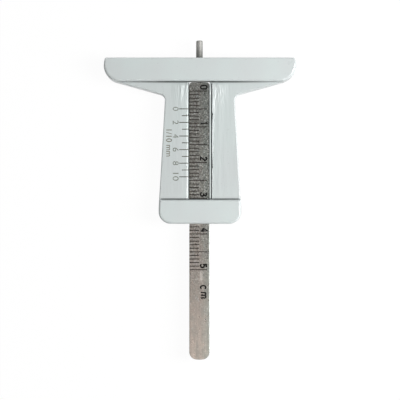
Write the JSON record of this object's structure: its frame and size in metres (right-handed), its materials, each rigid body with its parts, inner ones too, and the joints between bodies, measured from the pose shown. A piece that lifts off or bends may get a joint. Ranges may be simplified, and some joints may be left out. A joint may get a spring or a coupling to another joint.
{
  "type": "tread depth caliper",
  "caption": "Slim T-shaped depth gauge with an engraved steel blade and pin that slide in a moulded frame; reads the depth of tyre grooves against a vernier.",
  "frame": {"origin": "middle of the overall width and length at the reading of 5 mm, in the plane of the frame's back", "axes": "+Y along the blade, the way the pin comes out of the measuring face; +Z out of the side with the scales; +X to the right of the reader"},
  "size_m": [0.0536, 0.0896, 0.008],
  "materials": {
    "pale_grey_abs": "satin moulded ABS, pale cool grey, edges slightly polished",
    "stainless_strip": "rolled stainless strip with etched dark scale lines",
    "ground_steel": "ground steel pin with turning marks",
    "spring_steel": "bright spring steel strip"
  },
  "bodies": {
    "frame": {"gauge_frame": "pale_grey_abs", "leaf_spring": "spring_steel"},
    "blade": {"sliding_blade": "stainless_strip", "measuring_pin": "ground_steel"}
  },
  "joints": [
    {"name": "blade_slide", "type": "slide", "parent": "frame", "child": "blade", "axis": [0, 1, 0], "range_m": [-0.005, 0.045]}
  ]
}
